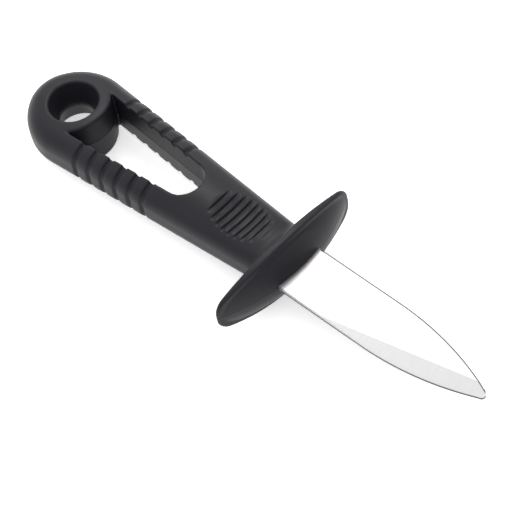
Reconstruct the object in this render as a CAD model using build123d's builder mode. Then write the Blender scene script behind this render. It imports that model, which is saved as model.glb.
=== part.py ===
from build123d import *
from math import atan2, cos, degrees, sin, sqrt
import os

# Oyster knife: a flat stainless blade whose tang is moulded into a one-piece plastic handle.
# The origin is the middle of the hanging hole, the blade points along +X, and Z is up.
# The mould parting plane is Z = 0. The knife is the same above and below it, bar the ground bevel.

# Overall length, from the ring's end to the blade's tip
overall_length = 155.0

# Ring end and hanging hole
ring_radius = 13.8
ring_offset = 0.78
hole_rim_radius = 7.1
hole_throat_radius = 5.0
hole_land_length = 1.2
hole_rim_rounding = 0.7
tube_mid_radius = 10.35

# Handle body, an oval section with a low crown
handle_half_thickness = 7.5
ring_corner_radius = 5.6
side_land_half = 1.3
neck_station = 74.0
neck_half_width = 8.4
neck_half_thickness = 6.0
neck_corner_radius = 3.8
thinning_start_station = 30.0

# Window between the two arms, narrower at mid height where the mould halves meet
arm_width = 4.9
window_end_station = 46.4
window_mid_inset = 0.55
window_corner_radius = 0.5
window_rim_rounding = 0.35

# Finger grooves across each arm: a long slope down, then a short step up
groove_count = 6
groove_first_station = 11.5
groove_pitch = 4.6
groove_slope_length = 1.5
groove_step_length = 0.3
groove_depth = 0.8

# Thumb rest scooped out of the handle's faces
pad_station = 61.9
pad_floor_height = 4.9
pad_scoop_radius = 27.0
pad_slot_count = 9
pad_slot_pitch = 2.09
pad_slot_width = 0.95
pad_slot_depth = 0.45

# Guard, an oval plate with a rounded front and a slightly hollow rear
guard_half_width = 24.6
guard_half_height = 9.2
guard_side_half = 1.3
guard_corner_radius = 5.4
guard_front_station = 80.8
guard_front_tip_station = 75.0
guard_front_fall = 3.9
guard_rear_station = 75.3
guard_rear_tip_station = 74.4
guard_front_rounding = 1.2
guard_rear_rounding = 0.5
guard_neck_fillet_share = 0.8

# Blade
blade_thickness = 1.9
blade_half_width = 7.5
blade_belly_station = 108.0
blade_tip_radius = 1.1
bevel_start_station = 95.0
bevel_end_setback = 3.6
bevel_end_rise = 1.8
bevel_edge_thickness = 0.4

# Tang, moulded into the handle
shoulder_station = 76.5
tang_end_station = 52.0
tang_half_width = 5.0
tang_corner_radius = 1.5
tang_hole_radius = 2.0
tang_hole_pitch = 12.0

# How far every cut runs past what it cuts
overrun = 2.0

ring_end_station = ring_offset - ring_radius
tip_station = ring_end_station + overall_length
side_slope = (ring_radius - neck_half_width) / (neck_station - ring_offset)
rim_height = handle_half_thickness / 2


def taper(ring_value, neck_value, station):
    """A size that runs evenly from its value at the ring to its value at the neck."""
    share = (station - ring_offset) / (neck_station - ring_offset)
    return ring_value + share * (neck_value - ring_value)


def half_width_at(station):
    """Half the handle's width at a station along X."""
    return taper(ring_radius, neck_half_width, station)


def half_thickness_at(station):
    """Half the handle's thickness, level along the arms and thinning more and more to the neck."""
    share = max(0, (station - thinning_start_station) / (neck_station - thinning_start_station))
    return handle_half_thickness - share**2 * (handle_half_thickness - neck_half_thickness)


def bow_radius(half_span, rise):
    """Radius of an arc that rises by this much at the middle of its span."""
    return (half_span**2 + rise**2) / (2 * rise)


def crown_points(half_width, half_height, side_half, corner_radius):
    """Points on one upper quarter of an oval: side top, corner middle, corner end, crown middle."""
    corner_y = half_width - corner_radius
    rise = half_height - side_half
    crown_radius = (corner_y**2 + rise**2 - corner_radius**2) / (2 * (rise - corner_radius))
    crown_z = half_height - crown_radius
    turn = atan2(side_half - crown_z, corner_y)
    corner_end = (corner_y + corner_radius * cos(turn), side_half + corner_radius * sin(turn))
    corner_mid = (corner_y + corner_radius * cos(turn / 2), side_half + corner_radius * sin(turn / 2))
    crown_mid = (corner_end[0] / 2, crown_z + sqrt(crown_radius**2 - (corner_end[0] / 2) ** 2))
    return (half_width, side_half), corner_mid, corner_end, crown_mid


def oval_outline(half_width, half_height, side_half, corner_radius):
    """The closed outline of an oval with short straight sides, rounded corners and crowned faces."""
    side, corner_mid, corner_end, _ = crown_points(half_width, half_height, side_half, corner_radius)
    for up in (1, -1):
        ThreePointArc(
            (corner_end[0], up * corner_end[1]),
            (0, up * half_height),
            (-corner_end[0], up * corner_end[1]),
        )
    for right in (1, -1):
        Line((right * side[0], -side[1]), (right * side[0], side[1]))
        for up in (1, -1):
            ThreePointArc(
                (right * side[0], up * side[1]),
                (right * corner_mid[0], up * corner_mid[1]),
                (right * corner_end[0], up * corner_end[1]),
            )


def handle_oval(station, inset=0.0):
    """The handle's own oval at a station, drawn smaller all round by an inset."""
    oval_outline(
        half_width_at(station) - inset,
        half_thickness_at(station) - inset,
        side_land_half,
        taper(ring_corner_radius, neck_corner_radius, station) - inset,
    )


# Blade with its tang, one strip of steel
with BuildPart() as blade:
    with BuildSketch(Plane.XY.offset(-blade_thickness / 2)) as blade_plan:
        with BuildLine() as blade_outline:
            back_end = (tip_station - blade_tip_radius, blade_tip_radius)
            edge_end = (tip_station - blade_tip_radius, -blade_tip_radius)
            Line((shoulder_station, -blade_half_width), (shoulder_station, blade_half_width))
            back = Line((shoulder_station, blade_half_width), (blade_belly_station, blade_half_width))
            TangentArc(back @ 1, back_end, tangent=back % 1)
            ThreePointArc(back_end, (tip_station, 0), edge_end)
            edge = Line((shoulder_station, -blade_half_width), (blade_belly_station, -blade_half_width))
            TangentArc(edge @ 1, edge_end, tangent=edge % 1)
        make_face()
        with BuildLine() as tang_outline:
            Polyline(
                (shoulder_station, -tang_half_width),
                (tang_end_station, -tang_half_width),
                (tang_end_station, tang_half_width),
                (shoulder_station, tang_half_width),
                close=True,
            )
        make_face()
        tang_ends = blade_plan.vertices().group_by(Axis.X)[0]
        fillet(tang_ends, tang_corner_radius)
    extrude(amount=blade_thickness)
    tang_middle = (tang_end_station + shoulder_station) / 2
    with Locations((tang_middle, 0, 0)):
        with GridLocations(tang_hole_pitch, 0, 2, 1):
            Hole(tang_hole_radius)
    # Flat grind along the lower edge of the upper face
    grind_start = Vector(bevel_start_station, -blade_half_width, blade_thickness / 2)
    grind_end = Vector(tip_station - bevel_end_setback, bevel_end_rise, blade_thickness / 2)
    grind_line = (grind_end - grind_start).normalized()
    grind_out = grind_line.cross(Vector(0, 0, 1))
    grind_run = blade_half_width
    grind_fall = blade_thickness - bevel_edge_thickness
    grind_normal = (Vector(0, 0, 1) * grind_run + grind_out * grind_fall).normalized()
    grind_plane = Plane(origin=grind_start, x_dir=grind_line, z_dir=grind_normal)
    with BuildSketch(grind_plane) as grind_face:
        Rectangle(2 * overall_length, 2 * overall_length)
    extrude(amount=2 * blade_thickness, mode=Mode.SUBTRACT)
blade.part.label = "blade"

os.makedirs("parts", exist_ok=True)
export_step(blade.part, "parts/blade.step")

# Handle body: the round ring end, then a loft along the tapering part
with BuildPart() as handle_body:
    ring_side, ring_corner_mid, ring_corner_end, ring_crown_mid = crown_points(
        ring_radius, handle_half_thickness, side_land_half, ring_corner_radius
    )
    with BuildSketch(Plane.YZ.offset(ring_offset)):
        with BuildLine():
            Line((0, -handle_half_thickness), (0, handle_half_thickness))
            Line((ring_side[0], -ring_side[1]), ring_side)
            for up in (1, -1):
                ThreePointArc(
                    (ring_side[0], up * ring_side[1]),
                    (ring_corner_mid[0], up * ring_corner_mid[1]),
                    (ring_corner_end[0], up * ring_corner_end[1]),
                )
                ThreePointArc(
                    (ring_corner_end[0], up * ring_corner_end[1]),
                    (ring_crown_mid[0], up * ring_crown_mid[1]),
                    (0, up * handle_half_thickness),
                )
        make_face()
    revolve(axis=Axis((ring_offset, 0, 0), (0, 0, 1)), revolution_arc=180)
    body_run = guard_rear_station + overrun - ring_offset
    section_count = 7
    for section in range(section_count):
        station = ring_offset + body_run * section / (section_count - 1)
        with BuildSketch(Plane.YZ.offset(station)):
            with BuildLine():
                handle_oval(station)
            make_face()
    loft()

# Guard plate: an oval slab, trimmed to a rounded front and a slightly hollow rear
with BuildPart() as guard_plate:
    with BuildSketch(Plane.YZ.offset(guard_rear_tip_station - overrun)):
        with BuildLine():
            oval_outline(guard_half_width, guard_half_height, guard_side_half, guard_corner_radius)
        make_face()
    extrude(amount=guard_front_station - guard_rear_tip_station + 2 * overrun)
    front_sweep = guard_front_station - guard_front_tip_station
    front_axis_station = guard_front_station - bow_radius(guard_half_width, front_sweep)
    trim_height = guard_half_height + overrun
    trim_station = guard_front_station - guard_front_fall * (trim_height / guard_half_height) ** 2
    with BuildSketch(Plane.XZ):
        with BuildLine():
            Line((front_axis_station, -trim_height), (front_axis_station, trim_height))
            for up in (1, -1):
                Line((front_axis_station, up * trim_height), (trim_station, up * trim_height))
            ThreePointArc(
                (trim_station, -trim_height), (guard_front_station, 0), (trim_station, trim_height)
            )
        make_face()
    revolve(axis=Axis((front_axis_station, 0, 0), (0, 0, 1)), mode=Mode.INTERSECT)
    front_face = guard_plate.faces().filter_by(GeomType.TORUS)[0]
    fillet(front_face.edges(), guard_front_rounding)
    rear_dome_radius = bow_radius(guard_half_width, guard_rear_station - guard_rear_tip_station)
    with Locations((guard_rear_station - rear_dome_radius, 0, 0)):
        Sphere(rear_dome_radius, mode=Mode.SUBTRACT)
    rear_face = guard_plate.faces().filter_by(GeomType.SPHERE).sort_by(SortBy.AREA)[-1]
    fillet(rear_face.edges(), guard_rear_rounding)


def groove_core(near_station, near_inset, far_station, far_inset):
    """The handle's oval run between two stations, with its own inset at each."""
    with BuildPart() as core:
        for station, inset in ((near_station, near_inset), (far_station, far_inset)):
            with BuildSketch(Plane.YZ.offset(station)):
                with BuildLine():
                    handle_oval(station, inset)
                make_face()
        loft(ruled=True)
    return core.part


def groove_cutter(start_station):
    """What one groove takes off: all that lies outside a waist in the handle's oval."""
    bottom_station = start_station + groove_slope_length
    lead_station = start_station - groove_slope_length
    end_station = bottom_station + 2 * groove_step_length
    slope_core = groove_core(lead_station, -groove_depth, bottom_station, groove_depth)
    step_core = groove_core(bottom_station, groove_depth, end_station, -groove_depth)
    with BuildPart() as cutter:
        with BuildSketch(Plane.YZ.offset(lead_station)):
            Rectangle(2 * guard_half_width, 2 * guard_half_width)
        extrude(amount=end_station - lead_station)
        add(slope_core, mode=Mode.SUBTRACT)
        add(step_core, mode=Mode.SUBTRACT)
    return cutter.part


# Window cutter: a tear drop round the hole's tube, widening from mid height to each face
with BuildPart() as window_cutter:
    side_turn = atan2(side_slope, 1)
    mid_end_station = window_end_station - window_mid_inset
    mid_arm_width = arm_width + window_mid_inset
    end_reach = (half_width_at(mid_end_station) - mid_arm_width) * cos(side_turn)
    mid_end_radius = end_reach / (1 - side_slope * cos(side_turn))
    mid_end_centre = mid_end_station - mid_end_radius
    end_tangent_x = mid_end_centre + mid_end_radius * sin(side_turn)
    end_tangent_y = mid_end_radius * cos(side_turn)
    start_y = half_width_at(0) - mid_arm_width
    with BuildSketch() as window_plan:
        with BuildLine():
            Line((0, -start_y), (0, start_y))
            Line((0, start_y), (end_tangent_x, end_tangent_y))
            ThreePointArc(
                (end_tangent_x, end_tangent_y), (mid_end_station, 0), (end_tangent_x, -end_tangent_y)
            )
            Line((0, -start_y), (end_tangent_x, -end_tangent_y))
        make_face()
        Circle(tube_mid_radius, mode=Mode.SUBTRACT)
        tube_corners = window_plan.vertices().sort_by(Axis.X)[:2]
        fillet(tube_corners, window_corner_radius)
    window_draft = degrees(atan2(window_mid_inset, handle_half_thickness))
    extrude(amount=handle_half_thickness + overrun, taper=-window_draft)
    mirror(about=Plane.XY)

# Hanging hole cutter: a short straight land at mid height, flaring to a wide rim at each face
with BuildPart() as hole_cutter:
    flare_slope = (hole_rim_radius - hole_throat_radius) / (handle_half_thickness - hole_land_length / 2)
    cutter_top = handle_half_thickness + overrun
    cutter_rim = hole_rim_radius + overrun * flare_slope
    with BuildSketch(Plane.XZ):
        with BuildLine():
            Polyline(
                (0, -cutter_top),
                (cutter_rim, -cutter_top),
                (hole_throat_radius, -hole_land_length / 2),
                (hole_throat_radius, hole_land_length / 2),
                (cutter_rim, cutter_top),
                (0, cutter_top),
                close=True,
            )
        make_face()
    revolve(axis=Axis.Z)

# Handle with its ring end, arms, thumb rests and guard in one moulding round the tang
groove_cutters = [groove_cutter(groove_first_station + i * groove_pitch) for i in range(groove_count)]
with BuildPart() as handle:
    add(handle_body.part)
    add(guard_plate.part)
    guard_rise = guard_half_height - neck_half_thickness
    fillet(handle.edges(Select.NEW), guard_neck_fillet_share * guard_rise)
    add(window_cutter.part, mode=Mode.SUBTRACT)
    window_edges = handle.edges(Select.NEW)
    fillet(window_edges.filter_by(lambda edge: abs(edge.center().Z) > rim_height), window_rim_rounding)
    add(hole_cutter.part, mode=Mode.SUBTRACT)
    fillet(handle.edges(Select.NEW), hole_rim_rounding)
    for cutter in groove_cutters:
        add(cutter, mode=Mode.SUBTRACT)
    # Thumb rests: a shallow round scoop in each face, with a row of narrow slots across its floor
    scoop_height = pad_floor_height + pad_scoop_radius
    slot_reach = pad_scoop_radius + pad_slot_depth
    for up in (1, -1):
        with Locations((pad_station, 0, up * scoop_height)):
            Sphere(pad_scoop_radius, mode=Mode.SUBTRACT)
        for slot in range(pad_slot_count):
            slot_offset = (slot - (pad_slot_count - 1) / 2) * pad_slot_pitch
            slot_radius = sqrt(slot_reach**2 - slot_offset**2)
            with Locations((pad_station + slot_offset, 0, up * scoop_height)):
                Cylinder(slot_radius, pad_slot_width, rotation=(0, 90, 0), mode=Mode.SUBTRACT)
    add(blade.part, mode=Mode.SUBTRACT)
handle.part.label = "handle"
export_step(handle.part, "parts/handle.step")
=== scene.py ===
import math

import bpy
import numpy as np
from mathutils import Matrix, Vector


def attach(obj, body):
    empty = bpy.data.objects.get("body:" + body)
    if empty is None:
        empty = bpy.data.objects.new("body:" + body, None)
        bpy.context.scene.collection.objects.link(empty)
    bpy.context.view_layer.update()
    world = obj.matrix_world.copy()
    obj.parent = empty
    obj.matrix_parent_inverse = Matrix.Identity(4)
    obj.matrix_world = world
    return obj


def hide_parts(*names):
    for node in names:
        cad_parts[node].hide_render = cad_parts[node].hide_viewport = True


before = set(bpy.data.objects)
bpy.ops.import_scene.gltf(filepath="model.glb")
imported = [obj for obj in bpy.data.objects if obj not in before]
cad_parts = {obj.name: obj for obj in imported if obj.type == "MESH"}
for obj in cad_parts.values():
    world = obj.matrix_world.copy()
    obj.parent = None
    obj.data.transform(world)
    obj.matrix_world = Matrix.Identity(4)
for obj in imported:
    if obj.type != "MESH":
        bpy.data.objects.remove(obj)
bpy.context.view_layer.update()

# Oyster knife on a pale floor. The frame is the model's own: the origin is the middle of the
# hanging hole, +X runs to the blade's tip and +Z is up. Sizes of the knife are in millimetres.
MM = 0.001

# Handle plan: straight sides that narrow to the neck, and a slightly pointed ring end
SIDE_STATION = 7.0
SIDE_HALF_WIDTH = 13.41
NECK_STATION = 74.0
NECK_HALF_WIDTH = 8.4
SIDE_SLOPE = (SIDE_HALF_WIDTH - NECK_HALF_WIDTH) / (NECK_STATION - SIDE_STATION)
SIDE_TURN = math.atan(SIDE_SLOPE)
FLANK_X = 1.65
FLANK_RADIUS = 15.9
SIDE_START = FLANK_X + FLANK_RADIUS * math.sin(SIDE_TURN)
RING_END = -13.7

# Handle section
HALF_THICKNESS = 7.5
RING_STATION = 0.8
RING_CORNER = 5.2
SIDE_LAND_HALF = 1.3
NECK_HALF_THICKNESS = 6.0
NECK_CORNER = 4.3
THINNING_START = 30.0
BODY_END = 76.0

# Hanging hole and its tube
HOLE_RIM = 7.1
HOLE_THROAT = 4.75
HOLE_LAND_HALF = 0.6
HOLE_ROUNDING = 0.5
TUBE_RADIUS = 10.4

# Window
ARM_WIDTH = 5.15
WINDOW_END = 46.5
WINDOW_INSET = 0.55
WINDOW_CORNER = 0.3
WINDOW_ROUNDING = 0.45

# Finger grooves
GROOVE_COUNT = 6
GROOVE_FIRST = 11.5
GROOVE_PITCH = 4.6
GROOVE_SLOPE = 1.5
GROOVE_STEP = 0.25
GROOVE_EDGE = 0.4
GROOVE_EDGE_DEPTH = 0.7
GROOVE_DEPTH = 0.95
RIB_SWELL = 0.06
GROOVE_SOFTNESS = 0.06
GROOVE_BLUR_REACH = 0.4
GROOVE_TABLE_STEP = 0.02

# Thumb rests
PAD_STATION = 62.1
PAD_FLOOR = 5.45
PAD_SCOOP_RADIUS = 27.0
PAD_ROUNDING = 0.3
SLOT_COUNT = 9
SLOT_PITCH = 2.09
SLOT_WIDTH = 0.95
SLOT_DEPTH = 0.55
SLOT_ROUNDING = 0.15

# Guard, an oval plate with a bowed rim in front and a cushion inside it. Off the middle plane the
# rim falls back by the bow times the distance squared.
GUARD_HALF_WIDTH = 24.1
GUARD_HALF_HEIGHT = 9.42
GUARD_SIDE_HALF = 1.05
GUARD_CORNER = 4.8
GUARD_RIM = 77.65
GUARD_RIM_BOW = 0.004
GUARD_CUSHION = 3.41
GUARD_LAND = 1.2
GUARD_REAR = 75.35
GUARD_REAR_DOME = 250.0
GUARD_FRONT_ROUNDING = 0.6
GUARD_REAR_ROUNDING = 0.6
NECK_FILLET = 3.5

# Parting line that the two halves of the mould leave at mid height
PARTING_HALF_WIDTH = 0.12
PARTING_RISE = 0.06

# Grid that the handle's surface is found on, as (start, end, step) runs
GRID_X_RUNS = (
    (-14.3, 10.9, 0.44),
    (10.9, 37.9, 0.22),
    (37.9, 51.9, 0.44),
    (51.9, 71.9, 0.2),
    (71.9, 81.7, 0.36),
)
GRID_Y_RUNS = ((-25.4, -14.2, 0.46), (-14.2, 14.2, 0.36), (14.2, 25.4, 0.46))
GRID_Z_RUNS = ((-9.8, -0.5, 0.37), (-0.5, 0.5, 0.125), (0.5, 9.8, 0.37))

# Blade outline and the guard's front at its root, as the steel's painted dark reflections and painted
# guard reflection need them
BLADE_HALF_WIDTH = 7.5
BLADE_BELLY = 108.0
BLADE_ARC_RADIUS = 88.9
DARK_REFLECTION_WIDTH = 0.55
DARK_REFLECTION_CORE_SHARE = 0.4
FADE_REACH = 0.5
ROOT_STATION = 81.2
ROOT_BOW = 0.0082
GUARD_REFLECTION_REACH = 0.8

# Plastic
PLASTIC_DARK = (0.0085, 0.008, 0.0115, 1)
PLASTIC_PALE = (0.0125, 0.0118, 0.016, 1)
PLASTIC_DARK_SHARE = 0.3
PLASTIC_PALE_SHARE = 0.75
PLASTIC_ROUGHNESS = 0.42
PLASTIC_SPECULAR = 0.2
GRAIN_SCALE = 3500
GRAIN_DETAIL = 3
GRAIN_STRENGTH = 0.25
GRAIN_HEIGHT = 0.1
CLOUD_SCALE = 90
CLOUD_DETAIL = 4

# Steel. The flat shares say how far up a normal has to point for its face to count as flat.
STEEL_LOW = (0.46, 0.46, 0.46, 1)
STEEL_HIGH = (0.54, 0.54, 0.54, 1)
STEEL_ROUGHNESS = 0.35
# Painted dark reflection along the blade's edges and over its underside
STEEL_DARK_REFLECTION = (0.05, 0.05, 0.055, 1)
# Painted violet reflection of the guard on the blade's root
GUARD_REFLECTION_COLOUR = (0.42, 0.37, 0.4, 1)
GRIND_STRETCH = (4000, 250, 250)
GRIND_DETAIL = 2
FLAT_START_SHARE = 0.5
FLAT_END_SHARE = 0.9

# Floor, with its reach in metres, and the two places where the knife rests on it
FLOOR_REACH = 3.0
FLOOR_COLOUR = (0.95, 0.95, 0.95, 1)
FLOOR_ROUGHNESS = 0.9
FLOOR_GLOW = 0.5
REST_RING = (0.0, -HALF_THICKNESS)
REST_GUARD = (76.5, -GUARD_HALF_HEIGHT)

# Light, with the softbox in metres and watts
WHITE = (1, 1, 1, 1)
SKY_FROM = (-0.6, 0.3, 0.75)
SKY_DIM_AT = -0.4
SKY_DIM = 0.8
SKY_BRIGHT = 1.5
KEY_PLACE = (-0.12, 0.126, 0.285)
KEY_TARGET = (0.05, 0, 0.007)
KEY_SIZE = (0.1, 0.1)
KEY_POWER = 0.35

# Camera: angles in radians, place in millimetres, focal length in pixels of the photograph
CAMERA_AZIMUTH = -0.638242438
CAMERA_ELEVATION = 0.919008751
CAMERA_ROLL = -0.217572118
CAMERA_PLACE = (437.703, -277.324, 601.729)
CAMERA_CLIP_END = 20
FOCAL_PIXELS = 3000
PHOTO_WIDTH_PIXELS = 512
SENSOR_WIDTH = 36


def side_width(x):
    return SIDE_HALF_WIDTH - SIDE_SLOPE * (x - SIDE_STATION)


def plan_gap(x, y):
    """Distance from the outline of the handle seen from above, negative inside."""
    across = np.abs(y)
    flank_y = side_width(SIDE_START) - FLANK_RADIUS * math.cos(SIDE_TURN)
    reach = FLANK_RADIUS + RING_END
    nose_x = (reach**2 - FLANK_X**2 - flank_y**2) / (2 * (reach - FLANK_X))
    in_nose = (nose_x - FLANK_X) * (across - flank_y) + flank_y * (x - FLANK_X) > 0
    nose = np.hypot(x - nose_x, y) - (nose_x - RING_END)
    flank = np.hypot(x - FLANK_X, across - flank_y) - FLANK_RADIUS
    ring = np.where(in_nose & (x < nose_x), nose, flank)
    return np.where(x > SIDE_START, across - side_width(x), ring)


def half_thickness(x):
    share = np.maximum(0.0, (x - THINNING_START) / (NECK_STATION - THINNING_START))
    return HALF_THICKNESS - share**2 * (HALF_THICKNESS - NECK_HALF_THICKNESS)


def crowned_oval(across, up, half_width, half_height, side_half, corner):
    """Distance to an oval with short straight sides, rounded corners and crowned faces."""
    u, v = np.abs(across), np.abs(up)
    corner_y = half_width - corner
    rise = half_height - side_half
    crown = (corner_y**2 + rise**2 - corner**2) / (2 * (rise - corner))
    centre = half_height - crown
    on_crown = u * (side_half - centre) <= corner_y * (v - centre)
    crown_gap = np.hypot(u, v - centre) - (crown - corner)
    corner_gap = np.where(v <= side_half, u - corner_y, np.hypot(u - corner_y, v - side_half))
    return np.where(on_crown, crown_gap, corner_gap) - corner


def meet(a, b, radius):
    """What lies inside both shapes, with the edge between them rounded."""
    u, v = np.maximum(a + radius, 0.0), np.maximum(b + radius, 0.0)
    return np.minimum(-radius, np.maximum(a, b)) + np.hypot(u, v)


def join(a, b, radius):
    """What lies inside either shape, with a fillet where they meet."""
    return -meet(-a, -b, radius)


def groove_profile():
    """Depth of the finger grooves along X, as a table that is read by interpolation."""
    places, depths = [GROOVE_FIRST - GROOVE_PITCH], [0.0]
    for i in range(GROOVE_COUNT):
        start = GROOVE_FIRST + i * GROOVE_PITCH
        foot = start + GROOVE_SLOPE
        places += [start, start + GROOVE_EDGE, foot, foot + GROOVE_STEP]
        depths += [0.0, GROOVE_EDGE_DEPTH, GROOVE_DEPTH, 0.0]
    table_x = np.arange(GROOVE_FIRST - GROOVE_PITCH, places[-1] + GROOVE_PITCH, GROOVE_TABLE_STEP)
    table = np.interp(table_x, places, depths)
    first_rib = GROOVE_FIRST + GROOVE_SLOPE + GROOVE_STEP
    rib_length = GROOVE_PITCH - GROOVE_SLOPE - GROOVE_STEP
    along = (table_x - first_rib) % GROOVE_PITCH / rib_length
    ribbed = (table_x > first_rib) & (table_x < places[-1]) & (along < 1)
    table -= np.where(ribbed, RIB_SWELL * np.sin(np.pi * np.clip(along, 0, 1)), 0.0)
    reach = np.arange(-GROOVE_BLUR_REACH, GROOVE_BLUR_REACH + GROOVE_TABLE_STEP / 2, GROOVE_TABLE_STEP)
    weights = np.exp(-0.5 * (reach / GROOVE_SOFTNESS) ** 2)
    return table_x, np.convolve(table, weights / weights.sum(), mode="same")


GROOVE_X, GROOVE_TABLE = groove_profile()


def body_gap(x, y, z):
    """Distance from the ring end, arms and neck, with the finger grooves cut in."""
    station = np.maximum(x, SIDE_START)
    width = side_width(station)
    share = (station - RING_STATION) / (NECK_STATION - RING_STATION)
    corner = RING_CORNER + share * (NECK_CORNER - RING_CORNER)
    across = np.maximum(plan_gap(x, y) + width, 0.0)
    body = crowned_oval(across, z, width, half_thickness(station), SIDE_LAND_HALF, corner)
    return np.maximum(body + np.interp(x, GROOVE_X, GROOVE_TABLE), x - BODY_END)


def guard_gap(x, y, z):
    oval = crowned_oval(y, z, GUARD_HALF_WIDTH, GUARD_HALF_HEIGHT, GUARD_SIDE_HALF, GUARD_CORNER)
    cushion_y, cushion_z = GUARD_HALF_WIDTH - GUARD_LAND, GUARD_HALF_HEIGHT - GUARD_LAND
    swell = np.maximum(1 - (y / cushion_y) ** 2 - (z / cushion_z) ** 2, 0.0)
    lean = 2 * GUARD_CUSHION * np.hypot(y / cushion_y**2, z / cushion_z**2) * (swell > 0)
    front = (x - GUARD_RIM + GUARD_RIM_BOW * y**2 - GUARD_CUSHION * swell) / np.hypot(1.0, lean)
    rear = GUARD_REAR_DOME - np.sqrt((x - GUARD_REAR + GUARD_REAR_DOME) ** 2 + y**2 + z**2)
    return meet(meet(oval, front, GUARD_FRONT_ROUNDING), rear, GUARD_REAR_ROUNDING)


def outside_window(x, y, z):
    """Tear drop round the tube that narrows towards mid height, negative outside the opening."""
    end = WINDOW_END - WINDOW_INSET
    arm = ARM_WIDTH + WINDOW_INSET
    end_radius = (side_width(end) - arm) * math.cos(SIDE_TURN) / (1 - SIDE_SLOPE * math.cos(SIDE_TURN))
    centre = end - end_radius
    walls = (np.abs(y) - side_width(x) + arm) * math.cos(SIDE_TURN)
    round_end = np.hypot(x - centre, y) - end_radius
    past_end = x > centre + np.abs(y) * math.tan(SIDE_TURN)
    plan = np.where(past_end, round_end, walls)
    plan = meet(plan, TUBE_RADIUS - np.hypot(x, y), WINDOW_CORNER)
    plan = np.maximum(plan, -x)
    draft = WINDOW_INSET * np.abs(z) / HALF_THICKNESS
    return draft - plan


def outside_hole(x, y, z):
    """Hanging hole that flares from its land to each face, negative outside the opening."""
    flare = (HOLE_RIM - HOLE_THROAT) / (HALF_THICKNESS - HOLE_LAND_HALF)
    hole = HOLE_THROAT + flare * np.maximum(np.abs(z) - HOLE_LAND_HALF, 0.0) - np.hypot(x, y)
    return hole * math.cos(math.atan(flare))


def thumb_rest_parts(x, y, z):
    """Round scoop, negative outside it, and the row of slots, negative inside them."""
    height = np.abs(z) - PAD_FLOOR - PAD_SCOOP_RADIUS
    scoop = PAD_SCOOP_RADIUS - np.sqrt((x - PAD_STATION) ** 2 + y**2 + height**2)
    slot_reach = PAD_SCOOP_RADIUS + SLOT_DEPTH
    row = (x - PAD_STATION) / SLOT_PITCH
    nearest = np.clip(np.round(row), -(SLOT_COUNT // 2), SLOT_COUNT // 2)
    side = np.abs(x - PAD_STATION - nearest * SLOT_PITCH) - SLOT_WIDTH / 2
    floor = np.hypot(y, height) - np.sqrt(slot_reach**2 - (nearest * SLOT_PITCH) ** 2)
    return scoop, meet(side, floor, SLOT_ROUNDING)


def handle_field(x, y, z):
    """Signed distance to the handle's surface, negative inside, at points in millimetres."""
    seam = PARTING_RISE * np.exp(-0.5 * (z / PARTING_HALF_WIDTH) ** 2)
    whole = join(body_gap(x, y, z), guard_gap(x, y, z) - seam, NECK_FILLET)
    whole = meet(whole, outside_window(x, y, z) - seam, WINDOW_ROUNDING)
    whole = meet(whole, outside_hole(x, y, z) - seam, HOLE_ROUNDING)
    scoop, slots = thumb_rest_parts(x, y, z)
    whole = meet(whole, scoop, PAD_ROUNDING)
    return meet(whole, -slots, SLOT_ROUNDING)


def spaced(runs):
    """Grid lines from (start, end, step) runs that follow on from each other."""
    lines = [np.linspace(a, b, max(2, round((b - a) / step) + 1))[:-1] for a, b, step in runs]
    return np.concatenate(lines + [[runs[-1][1]]])


def surface_of(field, xs, ys, zs):
    """Closed mesh of the field's zero surface on a grid: one vertex in each crossed cell."""
    values = field(xs[:, None, None], ys[None, :, None], zs[None, None, :])
    inside = values < 0
    grid = (xs, ys, zs)
    shape = tuple(n - 1 for n in values.shape)
    total = np.zeros(shape + (3,))
    count = np.zeros(shape)
    crossings = []

    # Where the surface crosses the grid's lines, averaged in each of the four cells round a line
    for axis in range(3):
        low = [slice(None)] * 3
        high = [slice(None)] * 3
        low[axis], high[axis] = slice(None, -1), slice(1, None)
        low, high = tuple(low), tuple(high)
        i, j, k = np.nonzero(inside[low] != inside[high])
        crossings.append((i, j, k))
        a, b = values[low][i, j, k], values[high][i, j, k]
        share = a / (a - b)
        at = [grid[0][i], grid[1][j], grid[2][k]]
        lines = grid[axis]
        index = (i, j, k)[axis]
        at[axis] = lines[index] + share * (lines[index + 1] - lines[index])
        place = np.stack(at, 1)
        u, v = [n for n in range(3) if n != axis]
        for du in (0, 1):
            for dv in (0, 1):
                cell = [i, j, k]
                cell[u], cell[v] = cell[u] - du, cell[v] - dv
                np.add.at(total, tuple(cell), place)
                np.add.at(count, tuple(cell), 1)
    used = np.nonzero(count)
    number = np.full(shape, -1)
    number[used] = np.arange(len(used[0]))
    points = total[used] / count[used][:, None]

    # One face for each crossing, from the vertices of the four cells round it
    faces = []
    for axis, (i, j, k) in enumerate(crossings):
        u, v = (axis + 1) % 3, (axis + 2) % 3
        corners = []
        for du, dv in ((0, 0), (1, 0), (1, 1), (0, 1)):
            cell = [i, j, k]
            cell[u], cell[v] = cell[u] - du, cell[v] - dv
            corners.append(number[tuple(cell)])
        quad = np.stack(corners, 1)
        outward = inside[i, j, k]
        faces.append(np.where(outward[:, None], quad, quad[:, ::-1]))
    return points, np.concatenate(faces)


def settle(field, points, rounds=3, probe=0.01, least_square=0.05, longest_move=0.15):
    """Moves points onto the field's zero surface."""
    for _ in range(rounds):
        steps = np.eye(3) * probe
        rise = [field(*(points + s).T) - field(*(points - s).T) for s in steps]
        slope = np.stack(rise, 1) / (2 * probe)
        slope_square = np.maximum((slope**2).sum(1), least_square)
        move = (field(*points.T) / slope_square)[:, None] * slope
        points = points - np.clip(move, -longest_move, longest_move)
    return points


def new_object(name, points, faces):
    mesh = bpy.data.meshes.new(name)
    mesh.from_pydata([tuple(p) for p in points * MM], [], faces.tolist())
    mesh.validate()
    mesh.shade_smooth()
    piece = bpy.data.objects.new(name, mesh)
    bpy.context.scene.collection.objects.link(piece)
    return piece


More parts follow.
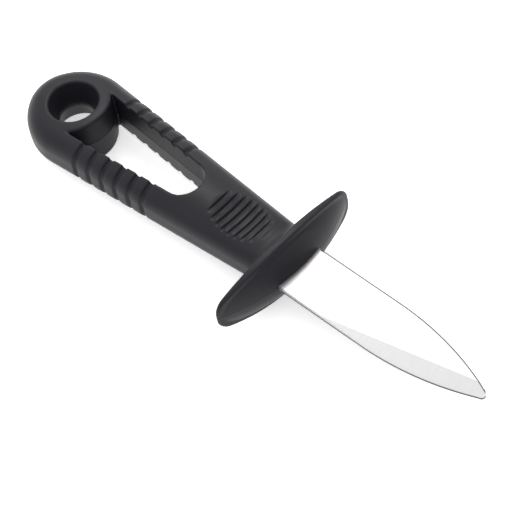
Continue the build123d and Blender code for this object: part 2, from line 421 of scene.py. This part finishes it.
def material(name):
    made = bpy.data.materials.new(name)
    made.use_nodes = True
    return made, made.node_tree.nodes, made.node_tree.links


def plastic():
    """Dark moulded plastic with a fine grain and a faint change of tone."""
    made, nodes, links = material("moulded_plastic")
    shader = nodes["Principled BSDF"]
    where = nodes.new("ShaderNodeTexCoord")
    grain = nodes.new("ShaderNodeTexNoise")
    grain.inputs["Scale"].default_value = GRAIN_SCALE
    grain.inputs["Detail"].default_value = GRAIN_DETAIL
    links.new(where.outputs["Object"], grain.inputs["Vector"])
    bump = nodes.new("ShaderNodeBump")
    bump.inputs["Strength"].default_value = GRAIN_STRENGTH
    bump.inputs["Distance"].default_value = GRAIN_HEIGHT * MM
    links.new(grain.outputs["Fac"], bump.inputs["Height"])
    links.new(bump.outputs["Normal"], shader.inputs["Normal"])
    cloud = nodes.new("ShaderNodeTexNoise")
    cloud.inputs["Scale"].default_value = CLOUD_SCALE
    cloud.inputs["Detail"].default_value = CLOUD_DETAIL
    links.new(where.outputs["Object"], cloud.inputs["Vector"])
    tone = nodes.new("ShaderNodeValToRGB")
    tone.color_ramp.elements[0].position = PLASTIC_DARK_SHARE
    tone.color_ramp.elements[0].color = PLASTIC_DARK
    tone.color_ramp.elements[1].position = PLASTIC_PALE_SHARE
    tone.color_ramp.elements[1].color = PLASTIC_PALE
    links.new(cloud.outputs["Fac"], tone.inputs["Fac"])
    links.new(tone.outputs["Color"], shader.inputs["Base Color"])
    shader.inputs["Roughness"].default_value = PLASTIC_ROUGHNESS
    shader.inputs["Specular IOR Level"].default_value = PLASTIC_SPECULAR
    return made


def steel():
    """Ground steel with painted dark reflections along its edges and underside, and a painted violet
    reflection of the guard where it leaves the guard.
    """
    made, nodes, links = material("ground_steel")

    def maths(operation, *values):
        step = nodes.new("ShaderNodeMath")
        step.operation = operation
        for socket, value in zip(step.inputs, values):
            if isinstance(value, (int, float)):
                socket.default_value = value
            else:
                links.new(value, socket)
        return step.outputs["Value"]

    def fade(value, start, end):
        step = nodes.new("ShaderNodeMapRange")
        step.interpolation_type = "SMOOTHSTEP"
        links.new(value, step.inputs["Value"])
        step.inputs["From Min"].default_value = start
        step.inputs["From Max"].default_value = end
        return step.outputs["Result"]

    def mixed(share, under, colour):
        step = nodes.new("ShaderNodeMix")
        step.data_type = "RGBA"
        links.new(share, step.inputs["Factor"])
        links.new(under, step.inputs["A"])
        step.inputs["B"].default_value = colour
        return step.outputs["Result"]

    shader = nodes["Principled BSDF"]
    shader.inputs["Metallic"].default_value = 1.0
    shader.inputs["Roughness"].default_value = STEEL_ROUGHNESS
    where = nodes.new("ShaderNodeTexCoord")
    stretch = nodes.new("ShaderNodeMapping")
    stretch.inputs["Scale"].default_value = GRIND_STRETCH
    links.new(where.outputs["Object"], stretch.inputs["Vector"])
    lines = nodes.new("ShaderNodeTexNoise")
    lines.inputs["Scale"].default_value = 1
    lines.inputs["Detail"].default_value = GRIND_DETAIL
    links.new(stretch.outputs["Vector"], lines.inputs["Vector"])
    tone = nodes.new("ShaderNodeValToRGB")
    tone.color_ramp.elements[0].color = STEEL_LOW
    tone.color_ramp.elements[1].color = STEEL_HIGH
    links.new(lines.outputs["Fac"], tone.inputs["Fac"])

    # Distance in from the outline, whose two arcs run from the belly to the tip
    spot = nodes.new("ShaderNodeNewGeometry")
    place = nodes.new("ShaderNodeSeparateXYZ")
    links.new(spot.outputs["Position"], place.inputs["Vector"])
    facing = nodes.new("ShaderNodeSeparateXYZ")
    links.new(spot.outputs["Normal"], facing.inputs["Vector"])
    x, y, z = place.outputs
    past_belly = maths("MAXIMUM", maths("SUBTRACT", x, BLADE_BELLY * MM), 0)
    arc_y = maths("ADD", maths("ABSOLUTE", y), (BLADE_ARC_RADIUS - BLADE_HALF_WIDTH) * MM)
    squares = maths("ADD", maths("MULTIPLY", past_belly, past_belly), maths("MULTIPLY", arc_y, arc_y))
    inset = maths("SUBTRACT", BLADE_ARC_RADIUS * MM, maths("SQRT", squares))

    # Painted dark reflection along the top face's far edge. The wall's painted dark reflection darkens
    # the edge walls below mid height, and the whole underside with them.
    flat = fade(facing.outputs["Z"], FLAT_START_SHARE, FLAT_END_SHARE)
    far_side = fade(y, 0, FADE_REACH * MM)
    on_edge = fade(inset, DARK_REFLECTION_WIDTH * MM, DARK_REFLECTION_CORE_SHARE * DARK_REFLECTION_WIDTH * MM)
    far_dark_reflection = maths("MULTIPLY", maths("MULTIPLY", far_side, on_edge), flat)
    low = fade(z, 0, -FADE_REACH * MM)
    wall_dark_reflection = maths("MULTIPLY", low, maths("SUBTRACT", 1, flat))
    with_dark_reflections = mixed(maths("MAXIMUM", far_dark_reflection, wall_dark_reflection), tone.outputs["Color"], STEEL_DARK_REFLECTION)

    # Painted reflection of the guard at the root, a violet cast which follows the curve of the guard's
    # front
    bow = maths("MULTIPLY", maths("MULTIPLY", y, y), ROOT_BOW / MM)
    from_root = maths("SUBTRACT", maths("ADD", x, bow), ROOT_STATION * MM)
    with_guard_reflection = mixed(fade(from_root, GUARD_REFLECTION_REACH * MM, 0), with_dark_reflections, GUARD_REFLECTION_COLOUR)
    links.new(with_guard_reflection, shader.inputs["Base Color"])
    return made


def pale_floor():
    """Floor that the ring end and the guard rest on, so it tilts a little in the model's frame."""
    fall = (REST_GUARD[1] - REST_RING[1]) / (REST_GUARD[0] - REST_RING[0])
    base = REST_RING[1] * MM
    corner_shares = ((-1, -1), (1, -1), (1, 1), (-1, 1))
    spots = [(a * FLOOR_REACH, b * FLOOR_REACH) for a, b in corner_shares]
    mesh = bpy.data.meshes.new("floor")
    mesh.from_pydata([(x, y, base + fall * x) for x, y in spots], [], [(0, 1, 2, 3)])
    floor = bpy.data.objects.new("floor", mesh)
    bpy.context.scene.collection.objects.link(floor)
    paper, nodes, _ = material("paper")
    shader = nodes["Principled BSDF"]
    shader.inputs["Base Color"].default_value = FLOOR_COLOUR
    shader.inputs["Roughness"].default_value = FLOOR_ROUGHNESS
    shader.inputs["Emission Color"].default_value = WHITE
    shader.inputs["Emission Strength"].default_value = FLOOR_GLOW
    mesh.materials.append(paper)


def studio_sky():
    """White surroundings that are brighter on the softbox's side."""
    world = bpy.data.worlds.new("studio")
    bpy.context.scene.world = world
    world.use_nodes = True
    nodes = world.node_tree.nodes
    links = world.node_tree.links
    toward = nodes.new("ShaderNodeTexCoord")
    lit_from = nodes.new("ShaderNodeVectorMath")
    lit_from.operation = "DOT_PRODUCT"
    lit_from.inputs[1].default_value = Vector(SKY_FROM).normalized()
    links.new(toward.outputs["Generated"], lit_from.inputs[0])
    spread = nodes.new("ShaderNodeMapRange")
    spread.inputs["From Min"].default_value = SKY_DIM_AT
    spread.inputs["To Min"].default_value = SKY_DIM
    spread.inputs["To Max"].default_value = SKY_BRIGHT
    links.new(lit_from.outputs["Value"], spread.inputs["Value"])
    links.new(spread.outputs["Result"], nodes["Background"].inputs["Strength"])
    nodes["Background"].inputs["Color"].default_value = WHITE


def softbox(name, place, target, size, power):
    lamp = bpy.data.lights.new(name, "AREA")
    lamp.shape = "RECTANGLE"
    lamp.size, lamp.size_y = size
    lamp.energy = power
    holder = bpy.data.objects.new(name, lamp)
    holder.location = place
    holder.rotation_euler = (Vector(target) - Vector(place)).to_track_quat("-Z", "Y").to_euler()
    bpy.context.scene.collection.objects.link(holder)


def long_lens_camera():
    """Camera at the photograph's viewing angle."""
    flat_reach = math.cos(CAMERA_ELEVATION)
    across = (flat_reach * math.cos(CAMERA_AZIMUTH), flat_reach * math.sin(CAMERA_AZIMUTH))
    away = Vector((*across, math.sin(CAMERA_ELEVATION)))
    level = (-away).cross(Vector((0, 0, 1))).normalized()
    upright = level.cross(-away)
    right = math.cos(CAMERA_ROLL) * level + math.sin(CAMERA_ROLL) * upright
    up = -math.sin(CAMERA_ROLL) * level + math.cos(CAMERA_ROLL) * upright
    lens = bpy.data.cameras.new("camera")
    lens.sensor_width = SENSOR_WIDTH
    lens.lens = SENSOR_WIDTH * FOCAL_PIXELS / PHOTO_WIDTH_PIXELS
    lens.clip_end = CAMERA_CLIP_END
    camera = bpy.data.objects.new("camera", lens)
    turned = Matrix((right, up, away)).transposed().to_4x4()
    camera.matrix_world = Matrix.Translation(Vector(CAMERA_PLACE) * MM) @ turned
    bpy.context.scene.collection.objects.link(camera)
    bpy.context.scene.camera = camera


# Handle, which takes the place of the plain solid
grid = [spaced(runs) for runs in (GRID_X_RUNS, GRID_Y_RUNS, GRID_Z_RUNS)]
points, faces = surface_of(handle_field, *grid)
points = settle(handle_field, points)
moulding = new_object("handle_moulding", points, faces)
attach(moulding, "root")
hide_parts("handle")
moulding.data.materials.append(plastic())

# Blade, which keeps its solid and gets the steel
blade_steel = steel()
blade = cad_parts["blade"]
for slot in blade.material_slots:
    slot.material = blade_steel

# Floor, light and camera
pale_floor()
studio_sky()
softbox("key", KEY_PLACE, KEY_TARGET, KEY_SIZE, KEY_POWER)
long_lens_camera()
bpy.context.scene.view_settings.view_transform = "Standard"
